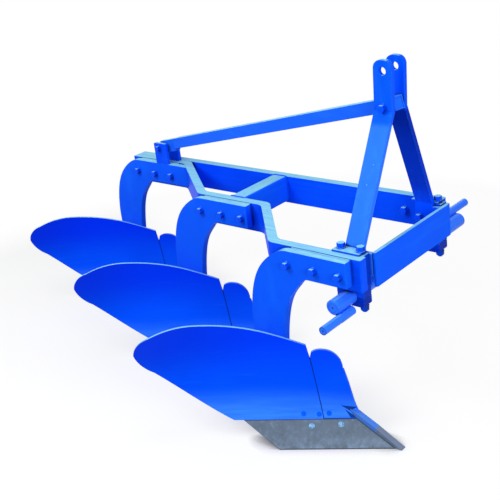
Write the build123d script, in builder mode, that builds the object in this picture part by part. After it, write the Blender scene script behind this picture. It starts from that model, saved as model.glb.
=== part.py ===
from build123d import *
import math
import os

# Three-furrow mounted moldboard plough.
# Forward is +X, the side away from the worked furrow is +Y, up is +Z.
# The origin is on the ground at the middle of the first body's landside sole.

# Spacing of the three plough bodies
body_count = 3
body_pitch_x = 607.0
body_pitch_y = 250.0

# Main frame bars, set on edge
frame_top = 632.0
bar_height = 108.0
bar_thickness = 33.0
frame_bottom = frame_top - bar_height
stepped_bar_side = -4.0
stepped_bar_front = 206.0
frame_rear = -1322.0
first_bend_front = -150.0
first_bend_rear = -388.0
second_bend_front = -700.0
second_bend_rear = -1015.0
bend_radius = 45.0
bar_end_chamfer = 3.0
side_beam_front = 176.0
front_plate_thickness = 12.0
front_plate_face = 216.0
front_plate_back = front_plate_face - front_plate_thickness
front_plate_near_end = 64.0
front_plate_far_end = 518.0
front_plate_bottom = 518.0
cross_member_rear = -563.0
cross_member_width = 70.0
cross_member_height = 100.0
cross_member_wall = 6.0
cross_member_corner = 9.0
cross_member_inner_corner = 4.0
weld_gap = 0.3

# Curved legs that carry the bodies
shank_thickness = 25.0
shank_far_face = -16.0
shank_near_face = shank_far_face - shank_thickness
shank_fronts = (176.0, 176.0, 252.0)
shank_under_frame = 547.0
shank_foot = 92.0
pad_drop = 1.0
pad_front = 172.0
pad_rear = -100.0
pad_bottom = 541.0

# Working surface of a body: one row per height
# height, leading edge x, mid x at mid_line_y, sweep angle of the outer half
tip_x = 300.0
wall_y = 6.0
lead_line_y = wall_y - 11.0
mid_line_y = wall_y - 110.0
wing_line_y = wall_y - 420.0
surface_rows = (
    (60.0, -116.0, -279.0, 31.8),
    (100.0, -151.0, -328.0, 33.0),
    (160.0, -170.0, -376.0, 34.8),
    (230.0, -192.0, -407.0, 37.2),
    (310.0, -219.0, -419.0, 40.5),
    (440.0, -261.0, -410.0, 45.6),
)
moldboard_thickness = 9.0
outline_angle = 38.0
share_top_height = 65.0
seat_gap = 0.3
cutter_depth = 1000.0
cutter_end = 60.0

# Share plate and reversible bar point
share_thickness = 11.0
share_near_x = -318.0
share_near_y = wall_y - 219.3
share_far_y = wall_y - 22.0
share_rise_x = -142.0
bar_point_size = 22.0
bar_point_crown = 7.0
bar_point_kink_x = 222.0
bar_point_tip = 20.0
bar_point_reach = 310.0
bar_point_slope = share_top_height / -share_rise_x
notch_clearance = 1.5
notch_reach = 30.0
share_underrun = 0.4
share_overrun = 1.4
bar_point_heel = 9.0

# Landside plate, frog and stay
landside_thickness = 12.0
landside_height = 85.0
landside_front = -70.0
landside_rear = -480.0
frog_plate_thickness = 10.0
frog_backing = 12.0
frog_backing_top = 215.0
frog_bottom = 16.0
frog_top = 230.0
frog_step_height = 60.0
frog_nose_set_back = 78.0
frog_rear_set_back = 512.0
frog_backing_end = 160.0
stay_diameter = 24.0
stay_height = 205.0
stay_root_x = -170.0
stay_reach_y = -330.0
stay_overrun = 40.0

# Mast for the top link
mast_centre_y = 285.0
mast_bar_width = 65.0
mast_bar_thickness = 16.0
mast_lean_deg = 2.3
mast_ear_gap = 54.0
mast_hole_x = 162.0
mast_hole_height = 1143.0
mast_hole_radius = 13.0
mast_eye_margin = 34.0
mast_top = mast_hole_height + mast_eye_margin
mast_bend_drop = 125.0
mast_bend_height = mast_hole_height - mast_bend_drop
mast_foot_right = 224.0
mast_foot_left = 204.0
mast_foot_bend = 640.0
mast_foot_bottom = 548.0
foot_web_bottom = 556.0
foot_web_drop = 4.0
mast_corner_radius = 26.0
mast_bore_depth = 120.0

# Brace from the mast to the rear of the frame
brace_size = 42.0
brace_depth = 42.0
brace_entry_shift = 5.8
brace_wall = 4.0
brace_front_x = 191.0
brace_front_rise = 22.0
brace_front_z = mast_bend_height + brace_front_rise
brace_rear_y = 494.0
brace_rear_z = 722.0
tongue_thickness = 20.0
tongue_height = 52.0
tongue_lift = 20.0
tongue_slope = 0.22
tongue_set_in = 14.0
brace_end_plate = 6.0
bracket_thickness = 12.0
bracket_near_width = 68.0
bracket_near_height = 89.0
bracket_far_width = 78.0
bracket_far_height = 78.0
bracket_rear_inset = 182.0
bracket_rear = frame_rear + bracket_rear_inset
bracket_near_y = shank_near_face + 2 * body_pitch_y
bracket_far_y = stepped_bar_side + 2 * body_pitch_y + bar_thickness - bracket_thickness
bracket_corner_radius = 6.0
brace_end_gap = 28.0
brace_rear_x = bracket_rear + bracket_far_width + brace_end_gap

# Turning cross shaft with its two hitch pins
shaft_x = 140.0
shaft_radius = 25.0
shaft_clear_of_shanks = 32.0
shaft_z = shank_under_frame - shaft_clear_of_shanks - shaft_radius
shaft_near_end = -71.0
shaft_far_end = 708.0
hitch_pin_radius = 14.0
hitch_pin_root_radius = 14.8
hitch_pin_free = 86.0
hitch_pin_lap = 68.0
hitch_pin_offset_x = 22.0
hitch_pin_offset_z = -32.5
shaft_end_chamfer = 2.5
pin_weld_length = 16.0
pin_weld_width = 12.0
pin_weld_inset = 4.0

# Bearings that clamp the shaft under the frame corners
running_clearance = 0.05
saddle_half_length = 50.0
saddle_lap = 5.0
cap_depth = 34.0
cap_split_gap = 2.0
strap_thickness = 6.0
strap_half_length = 56.0
strap_lap = 8.0
corner_bolt_offset = 36.0
corner_bolt_hole = 17.5
riser_front = 196.0
riser_rear = 122.0
strap_front_trim = 10.0
cap_corner_radius = 10.0
bore_reach = 100.0


def offset_path(points, distance):
    """Return the points moved sideways, mitred at each bend."""
    moved = []
    for i, (x, y) in enumerate(points):
        normals = []
        if i > 0:
            ax, ay = points[i - 1]
            length = math.hypot(x - ax, y - ay)
            normals.append((-(y - ay) / length, (x - ax) / length))
        if i < len(points) - 1:
            bx, by = points[i + 1]
            length = math.hypot(bx - x, by - y)
            normals.append((-(by - y) / length, (bx - x) / length))
        nx = sum(n[0] for n in normals) / len(normals)
        ny = sum(n[1] for n in normals) / len(normals)
        scale = distance / (nx * nx + ny * ny)
        moved.append((x + nx * scale, y + ny * scale))
    return moved


def section_points(row, depth):
    """Three points of a working-surface arc, moved back by depth."""
    height, lead_x, mid_x, sweep = row
    half_run = wing_line_y - mid_line_y
    wing_x = mid_x + half_run / math.tan(math.radians(sweep))
    a = (tip_x + lead_x, lead_line_y)
    b = (tip_x + mid_x, mid_line_y)
    c = (tip_x + wing_x, wing_line_y)
    d = 2 * (a[0] * (b[1] - c[1]) + b[0] * (c[1] - a[1]) + c[0] * (a[1] - b[1]))
    sa = a[0] ** 2 + a[1] ** 2
    sb = b[0] ** 2 + b[1] ** 2
    sc = c[0] ** 2 + c[1] ** 2
    ux = (sa * (b[1] - c[1]) + sb * (c[1] - a[1]) + sc * (a[1] - b[1])) / d
    uy = (sa * (c[0] - b[0]) + sb * (a[0] - c[0]) + sc * (b[0] - a[0])) / d
    moved = []
    for px, py in (a, b, c):
        radius = math.hypot(px - ux, py - uy)
        scale = (radius + depth) / radius
        moved.append((ux + (px - ux) * scale, uy + (py - uy) * scale))
    return moved


def surface_sections(near_depth, far_depth, shift):
    """Level slices of the space between two copies of the working surface."""
    slices = []
    for row in surface_rows:
        front = [(x + shift[0], y + shift[1]) for x, y in section_points(row, near_depth)]
        back = [(x + shift[0], y + shift[1]) for x, y in section_points(row, far_depth)]
        with BuildSketch(Plane.XY.offset(row[0])) as level_slice:
            with BuildLine():
                ThreePointArc(front[0], front[1], front[2])
                Line(front[2], back[2])
                ThreePointArc(back[2], back[1], back[0])
                Line(back[0], front[0])
            make_face()
        slices.append(level_slice.sketch.faces()[0])
    return slices


def outline_plane(shift):
    """Upright plane along the body, seen square on from the furrow."""
    angle = math.radians(outline_angle)
    along = (-math.cos(angle), -math.sin(angle), 0)
    inward = (-math.sin(angle), math.cos(angle), 0)
    start = (tip_x + shift[0], wall_y + shift[1], 0)
    return Plane(origin=start, x_dir=along, z_dir=inward)


def point_line_height(x):
    """Height of the top face of the bar point at x."""
    return (tip_x + bar_point_tip - x) * bar_point_slope


bar_point_drop = bar_point_size * math.hypot(1, bar_point_slope)


def under_point(x):
    """Height just below the bar point at x."""
    return point_line_height(x) - bar_point_drop - seat_gap


os.makedirs("parts", exist_ok=True)

# Stepped main beam
outer_path = [
    (stepped_bar_front, stepped_bar_side),
    (first_bend_front, stepped_bar_side),
    (first_bend_rear, stepped_bar_side + body_pitch_y),
    (second_bend_front, stepped_bar_side + body_pitch_y),
    (second_bend_rear, stepped_bar_side + 2 * body_pitch_y),
    (frame_rear, stepped_bar_side + 2 * body_pitch_y),
]
inner_path = offset_path(outer_path, -bar_thickness)
with BuildPart() as stepped_beam:
    with BuildSketch(Plane.XY.offset(frame_bottom)) as stepped_plan:
        with BuildLine():
            Polyline(*outer_path, *reversed(inner_path), close=True)
        make_face()
        bend_corners = stepped_plan.vertices().sort_by(Axis.X)[2:10]
        fillet(bend_corners, radius=bend_radius)
    extrude(amount=bar_height)
    chamfer(stepped_beam.edges().filter_by(Axis.Z).sort_by(Axis.X)[-2:], length=bar_end_chamfer)

# Straight far beam
side_beam_near = stepped_bar_side + 2 * body_pitch_y + bar_thickness + weld_gap
with BuildPart() as side_beam:
    with BuildSketch(Plane.XY.offset(frame_bottom)):
        with Locations(((side_beam_front + frame_rear) / 2, side_beam_near + bar_thickness / 2)):
            Rectangle(side_beam_front - frame_rear, bar_thickness)
    extrude(amount=bar_height)
    chamfer(side_beam.edges().filter_by(Axis.Z), length=bar_end_chamfer)

# Front cross plate
plate_mid_x = (front_plate_face + front_plate_back) / 2
plate_mid_y = (front_plate_near_end + front_plate_far_end) / 2
plate_length = front_plate_far_end - front_plate_near_end
with BuildPart() as front_plate:
    with BuildSketch(Plane.XY.offset(front_plate_bottom)):
        with Locations((plate_mid_x, plate_mid_y)):
            Rectangle(front_plate_thickness, plate_length)
    extrude(amount=frame_top - front_plate_bottom)
    chamfer(front_plate.edges().filter_by(Axis.Z), length=bar_end_chamfer)

# Hollow cross member in the middle of the frame
cross_near = stepped_bar_side + body_pitch_y + bar_thickness + weld_gap
cross_far = side_beam_near - weld_gap
cross_mid_x = cross_member_rear + cross_member_width / 2
cross_mid_z = frame_top - cross_member_height / 2
with BuildPart() as mid_cross_member:
    with BuildSketch(Plane.XZ.offset(-cross_far)):
        with Locations((cross_mid_x, cross_mid_z)):
            RectangleRounded(cross_member_width, cross_member_height, cross_member_corner)
            inner_w = cross_member_width - 2 * cross_member_wall
            inner_h = cross_member_height - 2 * cross_member_wall
            RectangleRounded(inner_w, inner_h, cross_member_inner_corner, mode=Mode.SUBTRACT)
    extrude(amount=cross_far - cross_near)

# Curved shank outline, from the front end round to the foot
shank_back_curve = (
    (-50.0, frame_top),
    (-104.0, 613.0),
    (-159.0, 566.0),
    (-198.0, 498.0),
    (-220.0, 410.0),
    (-225.0, 320.0),
    (-216.0, 205.0),
    (-202.0, shank_foot),
)
shank_inner_curve = (
    (-92.0, shank_foot),
    (-99.0, 230.0),
    (-92.0, 320.0),
    (-75.0, 405.0),
    (-44.0, 478.0),
    (-10.0, 520.0),
    (34.0, shank_under_frame),
)

# The last shank runs on to the beam's bend and is cut along it
bend_run = Vector(second_bend_front - second_bend_rear, -body_pitch_y, 0).normalized()
bend_out = Vector(bend_run.Y, -bend_run.X, 0)
bend_corner = Vector(second_bend_rear, stepped_bar_side + 2 * body_pitch_y, 0)
bend_face = Plane(origin=bend_corner + bend_out * seat_gap, z_dir=bend_out)

pad_points = (
    (pad_front, frame_top - pad_drop),
    (-50.0, frame_top - pad_drop),
    (pad_rear, 606.0),
    (pad_rear, pad_bottom),
    (pad_front, pad_bottom),
)

for index in range(body_count):
    number = index + 1
    dx = -body_pitch_x * index
    dy = body_pitch_y * index

    # Shank of this body
    with BuildPart() as shank:
        with BuildSketch(Plane.XZ.offset(-(shank_far_face + dy))) as shank_sketch:
            with BuildLine():
                back = [(x + dx, z) for x, z in shank_back_curve]
                inner = [(x + dx, z) for x, z in shank_inner_curve]
                Spline(*back, tangents=[(-1, -0.05), (0.1, -1)])
                Line(back[-1], inner[0])
                Spline(*inner, tangents=[(-0.02, 1), (1, 0.02)])
                end_low = (shank_fronts[index] + dx, shank_under_frame)
                end_high = (shank_fronts[index] + dx, frame_top)
                Polyline(inner[-1], end_low, end_high, back[0])
            make_face()
        extrude(amount=shank_thickness)
        if index == body_count - 1:
            split(bisect_by=bend_face, keep=Keep.TOP)
    shank.part.label = f"shank_{number}"
    export_step(shank.part, f"parts/shank_{number}.step")

    # Packing plate between shank and beam
    pad_thickness = stepped_bar_side - shank_far_face
    with BuildPart() as shank_pad:
        with BuildSketch(Plane.XZ.offset(-(stepped_bar_side + dy))):
            with BuildLine():
                Polyline(*[(x + dx, z) for x, z in pad_points], close=True)
            make_face()
        extrude(amount=pad_thickness)
    shank_pad.part.label = f"shank_pad_{number}"
    export_step(shank_pad.part, f"parts/shank_pad_{number}.step")

    # Curved moldboard
    board_outline = (
        (532.0, share_top_height + seat_gap),
        (669.0, 139.0),
        (786.0, 233.0),
        (826.0, 274.0),
        (839.0, 316.0),
        (826.0, 349.0),
        (777.0, 381.0),
        (716.0, 400.0),
        (643.0, 404.0),
        (492.0, 378.0),
        (366.0, 340.0),
        (272.0, 307.0),
        (263.0, 262.0),
        (235.5, share_top_height + seat_gap),
    )
    with BuildPart() as moldboard:
        loft(sections=surface_sections(0, moldboard_thickness, (dx, dy)))
        with BuildSketch(outline_plane((dx, dy)).offset(-cutter_depth / 2)):
            with BuildLine():
                p = board_outline
                ThreePointArc(p[0], p[1], p[2])
                ThreePointArc(p[2], p[3], p[4])
                ThreePointArc(p[4], p[5], p[6])
                ThreePointArc(p[6], p[7], p[8])
                ThreePointArc(p[8], p[9], p[10])
                Line(p[10], p[11])
                Line(p[11], p[12])
                Line(p[12], p[13])
                Line(p[13], p[0])
            make_face()
        extrude(amount=cutter_depth, mode=Mode.INTERSECT)
    moldboard.part.label = f"moldboard_{number}"
    export_step(moldboard.part, f"parts/moldboard_{number}.step")

    # Shin in front of the moldboard, notched for the bar point
    with BuildPart() as shin:
        loft(sections=surface_sections(0, moldboard_thickness, (dx, dy)))
        with BuildSketch(outline_plane((dx, dy)).offset(-cutter_depth / 2)):
            with BuildLine():
                low = share_top_height + seat_gap
                Line((cutter_end, low), (234.9, low))
                Line((234.9, low), (262.4, 262.0))
                Line((262.4, 262.0), (256.0, 283.0))
                ThreePointArc((256.0, 283.0), (240.0, 291.0), (218.0, 293.0))
                ThreePointArc((218.0, 293.0), (183.0, 282.5), (158.6, 231.0))
                Line((158.6, 231.0), (cutter_end, 231.0))
                Line((cutter_end, 231.0), (cutter_end, low))
            make_face()
        extrude(amount=cutter_depth, mode=Mode.INTERSECT)
        with BuildSketch(Plane.XZ.offset(-(wall_y + dy + notch_reach))):
            with BuildLine():
                run_a = tip_x + bar_point_tip
                run_b = run_a - bar_point_reach - notch_reach
                lift = notch_clearance
                Polyline(
                    (run_a + dx, point_line_height(run_a) + bar_point_crown + lift),
                    (run_b + dx, point_line_height(run_b) + bar_point_crown + lift),
                    (run_b + dx, point_line_height(run_b) - bar_point_drop - lift),
                    (run_a + dx, point_line_height(run_a) - bar_point_drop - lift),
                    close=True,
                )
            make_face()
        extrude(amount=notch_reach + bar_point_size + notch_clearance, mode=Mode.SUBTRACT)
    shin.part.label = f"shin_{number}"
    export_step(shin.part, f"parts/shin_{number}.step")

    # Share plate, ground flat below
    tip = Vector(tip_x + dx, share_far_y + dy, 0)
    edge_dir = Vector(share_near_x, share_near_y - share_far_y, 0)
    edge_length = edge_dir.length
    rise = Vector(share_rise_x, 0, share_top_height)
    face_normal = rise.cross(edge_dir).normalized()
    share_plane = Plane(origin=tip, x_dir=edge_dir.normalized(), z_dir=face_normal)
    rise_local = share_plane.to_local_coords(tip + rise)
    with BuildPart() as share:
        with BuildSketch(share_plane):
            with BuildLine():
                Polyline(
                    (-rise_local.X * share_underrun, -rise_local.Y * share_underrun),
                    (edge_length - rise_local.X * share_underrun, -rise_local.Y * share_underrun),
                    (edge_length + rise_local.X * share_overrun, rise_local.Y * share_overrun),
                    (rise_local.X * share_overrun, rise_local.Y * share_overrun),
                    close=True,
                )
            make_face()
        extrude(amount=-share_thickness)
        split(bisect_by=Plane.XY, keep=Keep.TOP)
        split(bisect_by=Plane.XY.offset(share_top_height), keep=Keep.BOTTOM)
        split(bisect_by=Plane.XZ.offset(-(share_far_y + dy)), keep=Keep.TOP)
    share.part.label = f"share_{number}"
    export_step(share.part, f"parts/share_{number}.step")

    # Reversible bar point
    with BuildPart() as bar_point:
        with BuildSketch(Plane.XZ.offset(-(wall_y + dy))):
            with BuildLine():
                front_x = tip_x + bar_point_tip + cutter_end
                rear_x = tip_x + bar_point_tip - bar_point_reach
                heel_x = rear_x - bar_point_heel
                kink_height = point_line_height(bar_point_kink_x) + bar_point_crown
                Polyline(
                    (front_x + dx, point_line_height(front_x)),
                    (tip_x + bar_point_tip + dx, 0),
                    (bar_point_kink_x + dx, kink_height),
                    (rear_x + dx, point_line_height(rear_x) + bar_point_crown),
                    (heel_x + dx, point_line_height(heel_x) - bar_point_drop),
                    (front_x + dx, point_line_height(front_x) - bar_point_drop),
                    close=True,
                )
            make_face()
        extrude(amount=bar_point_size)
        split(bisect_by=Plane.XY, keep=Keep.TOP)
    bar_point.part.label = f"bar_point_{number}"
    export_step(bar_point.part, f"parts/bar_point_{number}.step")

    # Landside plate that runs along the furrow wall
    landside_peak = tip_x + bar_point_tip - (landside_height + bar_point_drop) / bar_point_slope
    with BuildPart() as landside:
        with BuildSketch(Plane.XZ.offset(-(wall_y + dy))):
            with BuildLine():
                nose = tip_x + landside_front
                heel = tip_x + landside_rear
                Polyline(
                    (nose + dx, 0),
                    (nose + dx, under_point(nose)),
                    (landside_peak + dx, landside_height - seat_gap),
                    (heel + dx, landside_height - seat_gap),
                    (heel + dx, 0),
                    close=True,
                )
            make_face()
        extrude(amount=landside_thickness)
    landside.part.label = f"landside_{number}"
    export_step(landside.part, f"parts/landside_{number}.step")

    # Frog: side plate with backing for share and moldboard
    frog_far_face = wall_y - landside_thickness
    frog_near_face = frog_far_face - frog_plate_thickness
    frog_nose = tip_x - frog_nose_set_back
    frog_rear = tip_x - frog_rear_set_back
    point_rear = tip_x + bar_point_tip - bar_point_reach
    backing_end = edge_length - frog_backing_end
    point_gap = bar_point_crown + seat_gap
    with BuildPart() as share_backing:
        with BuildSketch(share_plane.offset(-share_thickness - seat_gap)):
            with BuildLine():
                Polyline(
                    (-rise_local.X * share_underrun, -rise_local.Y * share_underrun),
                    (backing_end, -rise_local.Y * share_underrun),
                    (backing_end + rise_local.X * share_overrun, rise_local.Y * share_overrun),
                    (rise_local.X * share_overrun, rise_local.Y * share_overrun),
                    close=True,
                )
            make_face()
        extrude(amount=-frog_backing)
        split(bisect_by=Plane.XY.offset(frog_bottom), keep=Keep.TOP)
        split(bisect_by=Plane.XY.offset(share_top_height + seat_gap), keep=Keep.BOTTOM)
        split(bisect_by=Plane.XZ.offset(-(frog_near_face + dy)), keep=Keep.TOP)
    with BuildPart() as board_backing:
        board_back = moldboard_thickness + seat_gap
        loft(sections=surface_sections(board_back, board_back + frog_backing, (dx, dy)))
        with BuildSketch(outline_plane((dx, dy)).offset(-cutter_depth / 2)):
            with BuildLine():
                Polyline(
                    (cutter_end, share_top_height + seat_gap),
                    (378.0, share_top_height + seat_gap),
                    (400.0, 120.0),
                    (360.0, frog_backing_top),
                    (cutter_end, frog_backing_top),
                    close=True,
                )
            make_face()
        extrude(amount=cutter_depth, mode=Mode.INTERSECT)
        split(bisect_by=Plane.XZ.offset(-(frog_near_face + dy)), keep=Keep.TOP)
    with BuildPart() as frog:
        add(share_backing.part)
        add(board_backing.part)
        with BuildSketch(Plane.XZ.offset(-(frog_far_face + dy))):
            with BuildLine():
                Polyline(
                    (frog_nose + dx, frog_bottom),
                    (frog_nose + dx, under_point(frog_nose)),
                    (point_rear - 11.0 + dx, under_point(point_rear - 11.0)),
                    (point_rear - 1.0 + dx, point_line_height(point_rear - 1.0) + point_gap),
                    (tip_x - 222.0 + dx, point_line_height(tip_x - 222.0) + point_gap),
                    (tip_x - 237.0 + dx, 150.0),
                    (tip_x - 252.0 + dx, 200.0),
                    (tip_x - 262.0 + dx, frog_top),
                    (frog_rear + dx, frog_top),
                    (frog_rear + dx, frog_step_height),
                    (tip_x - 470.0 + dx, frog_bottom),
                    close=True,
                )
            make_face()
        extrude(amount=frog_plate_thickness)
    frog.part.label = f"frog_{number}"
    export_step(frog.part, f"parts/frog_{number}.step")

# Brace stays between the frogs and the moldboard wings
for index in range(body_count):
    number = index + 1
    dx = -body_pitch_x * index
    dy = body_pitch_y * index
    stay_root_y = shank_near_face - seat_gap + dy
    with BuildPart() as moldboard_stay:
        with BuildSketch(Plane.XZ.offset(-stay_root_y)):
            with Locations((stay_root_x + dx, stay_height)):
                Circle(stay_diameter / 2)
        extrude(amount=stay_root_y - (wall_y + stay_reach_y + dy))
    with BuildPart() as board_space:
        loft(sections=surface_sections(-stay_overrun, moldboard_thickness + seat_gap, (dx, dy)))
    stay_pieces = moldboard_stay.part - board_space.part
    stay_solid = stay_pieces.solids().sort_by(Axis.Y)[-1]
    stay_solid.label = f"moldboard_stay_{number}"
    export_step(stay_solid, f"parts/moldboard_stay_{number}.step")

# Mast: two bent flat bars that lean slightly forward
lean = math.radians(mast_lean_deg)
mast_foot_x = mast_hole_x - math.tan(lean) * (mast_hole_height - frame_top)
mast_origin = (mast_foot_x, mast_centre_y, frame_top)
mast_normal = (math.cos(lean), 0, -math.sin(lean))
ear_inner = mast_ear_gap / 2
ear_outer = ear_inner + mast_bar_thickness
for side, name, foot_half in (
    (-1, "mast_leg_right", mast_foot_right),
    (1, "mast_leg_left", mast_foot_left),
):
    centre_path = [
        (ear_inner, mast_top - frame_top),
        (ear_inner, mast_bend_height - frame_top),
        (foot_half - mast_bar_thickness, mast_foot_bend - frame_top),
        (foot_half - mast_bar_thickness, mast_foot_bottom - frame_top),
    ]
    outer = offset_path(centre_path, mast_bar_thickness)
    with BuildPart() as mast_leg:
        leg_plane = Plane(origin=mast_origin, x_dir=(0, 1, 0), z_dir=mast_normal)
        with BuildSketch(leg_plane):
            with BuildLine():
                ring = centre_path + list(reversed(outer))
                Polyline(*[(side * a, b) for a, b in ring], close=True)
            make_face()
        extrude(amount=mast_bar_width / 2, both=True)
        foot_mid_y = mast_centre_y + side * (foot_half - mast_bar_thickness / 2)
        web_front = front_plate_back - seat_gap
        with BuildSketch(Plane.XY.offset(foot_web_bottom)):
            with Locations(((mast_foot_x + web_front) / 2, foot_mid_y)):
                Rectangle(web_front - mast_foot_x, mast_bar_thickness)
        extrude(amount=frame_top - foot_web_drop - foot_web_bottom)
        top_edges = mast_leg.edges().filter_by(Axis.Y).sort_by(Axis.Z)[-2:]
        fillet(top_edges, radius=mast_corner_radius)
        with BuildSketch(Plane.XZ.offset(-(mast_centre_y + mast_bore_depth / 2))):
            with Locations((mast_hole_x, mast_hole_height)):
                Circle(mast_hole_radius)
        extrude(amount=mast_bore_depth, mode=Mode.SUBTRACT)
    mast_leg.part.label = name
    export_step(mast_leg.part, f"parts/{name}.step")

# Long brace, a square tube with a flat tongue at its lower end
brace_front = Vector(brace_front_x, mast_centre_y - brace_entry_shift, brace_front_z)
brace_rear = Vector(brace_rear_x, brace_rear_y, brace_rear_z)
brace_dir = (brace_rear - brace_front).normalized()
brace_side = Vector(0, 0, 1).cross(brace_dir).normalized()
brace_plane = Plane(origin=brace_front, x_dir=brace_side, z_dir=brace_dir)
tongue_mid_y = (bracket_near_y + bracket_thickness + bracket_far_y) / 2
brace_length = (brace_rear - brace_front).length
tongue_rear = bracket_rear + tongue_set_in
tongue_top_front = brace_rear_z + tongue_lift
tongue_top_rear = tongue_top_front - tongue_slope * (brace_rear_x - tongue_rear)
with BuildPart() as top_brace:
    with BuildSketch(brace_plane):
        Rectangle(brace_size, brace_depth)
        hollow = brace_size - 2 * brace_wall
        Rectangle(hollow, brace_depth - 2 * brace_wall, mode=Mode.SUBTRACT)
    extrude(amount=brace_length)
    with BuildSketch(brace_plane.offset(brace_length - brace_end_plate)):
        Rectangle(brace_size, brace_depth)
    extrude(amount=brace_end_plate)
    with BuildSketch(Plane.XZ.offset(-(tongue_mid_y + tongue_thickness / 2))):
        with BuildLine():
            Polyline(
                (tongue_rear, tongue_top_rear),
                (brace_rear_x, tongue_top_front),
                (brace_rear_x, tongue_top_front - tongue_height),
                (tongue_rear, tongue_top_rear - tongue_height),
                close=True,
            )
        make_face()
    extrude(amount=tongue_thickness)
top_brace.part.label = "top_brace"
export_step(top_brace.part, "parts/top_brace.step")

# Upright brackets at the rear that hold the tongue
for name, side_y, width, height in (
    ("brace_bracket_right", bracket_near_y, bracket_near_width, bracket_near_height),
    ("brace_bracket_left", bracket_far_y, bracket_far_width, bracket_far_height),
):
    with BuildPart() as brace_bracket:
        with BuildSketch(Plane.XZ.offset(-(side_y + bracket_thickness))):
            with Locations((bracket_rear + width / 2, frame_top + seat_gap + height / 2)):
                Rectangle(width, height)
        extrude(amount=bracket_thickness)
        fillet(brace_bracket.edges().filter_by(Axis.Y).group_by(Axis.Z)[-1], radius=bracket_corner_radius)
    brace_bracket.part.label = name
    export_step(brace_bracket.part, f"parts/{name}.step")

# Cross shaft with a hitch pin welded beside each end
with BuildPart() as cross_shaft:
    with BuildSketch(Plane.XZ.offset(-shaft_far_end)):
        with Locations((shaft_x, shaft_z)):
            Circle(shaft_radius)
    extrude(amount=shaft_far_end - shaft_near_end)
    chamfer(cross_shaft.faces().filter_by(Axis.Y).edges(), length=shaft_end_chamfer)
    for side, end in ((1, shaft_near_end), (-1, shaft_far_end)):
        pin_outer = end - side * hitch_pin_free
        pin_inner = end + side * hitch_pin_lap
        low_y, high_y = sorted((pin_outer, pin_inner))
        pin_x = shaft_x + side * hitch_pin_offset_x
        pin_z = shaft_z + side * hitch_pin_offset_z
        with BuildSketch(Plane.XZ.offset(-high_y)):
            with Locations((pin_x, pin_z)):
                Circle(hitch_pin_radius)
        extrude(amount=high_y - low_y)
        root_low, root_high = sorted((end, pin_inner))
        with BuildSketch(Plane.XZ.offset(-root_high)):
            with Locations((pin_x, pin_z)):
                Circle(hitch_pin_root_radius)
        extrude(amount=root_high - root_low)
        weld_z = shaft_z + side * hitch_pin_offset_z / 2
        weld_x = shaft_x + side * hitch_pin_offset_x / 2
        tilt = math.degrees(math.atan2(hitch_pin_offset_z, hitch_pin_offset_x))
        with BuildSketch(Plane.XZ.offset(-(root_high - pin_weld_inset))):
            with Locations(Location((weld_x, weld_z), tilt)):
                Rectangle(pin_weld_length, pin_weld_width)
        extrude(amount=root_high - root_low - 2 * pin_weld_inset)
cross_shaft.part.label = "cross_shaft"
export_step(cross_shaft.part, "parts/cross_shaft.step")

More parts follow.
